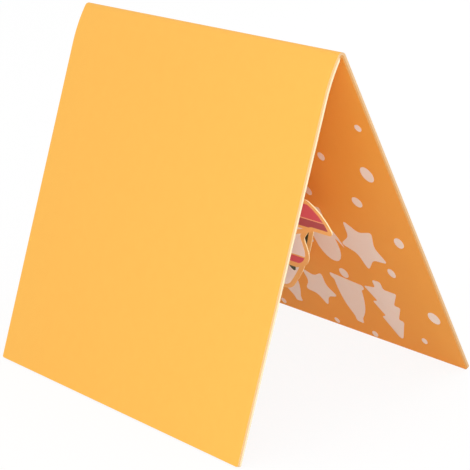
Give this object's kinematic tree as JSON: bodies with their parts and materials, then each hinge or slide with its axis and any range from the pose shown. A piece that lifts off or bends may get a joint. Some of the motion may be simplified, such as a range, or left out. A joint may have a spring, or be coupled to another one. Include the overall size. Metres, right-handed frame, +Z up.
{
  "type": "greeting card",
  "caption": "Square folded pop-up greeting card standing like a tent, with a plain cover, a printed liner and cut-out layers on folded struts inside.",
  "frame": {"origin": "on the floor, at the middle of the standing card's box", "axes": "+X along the crease, +Y towards the back panel's foot, +Z up"},
  "size_m": [0.15, 0.1184, 0.1379],
  "materials": {
    "cover_card": "matt yellow-orange card",
    "liner_card": "matt orange printed card with pale motifs",
    "basket_print": "matt print, red with an orange margin",
    "parcel_print": "matt print, cream, red and dark green",
    "hill_print": "matt print, cream with an orange margin",
    "strut_card": "matt orange card"
  },
  "bodies": {
    "root": {"cover": "cover_card", "liner": "liner_card", "basket_layer": "basket_print", "parcel_layer": "parcel_print", "hill_layer": "hill_print", "hill_strut_left": "strut_card", "hill_strut_right": "strut_card", "parcel_strut_left": "strut_card", "parcel_strut_right": "strut_card", "basket_strut_left": "strut_card", "basket_strut_right": "strut_card"}
  },
  "joints": []
}
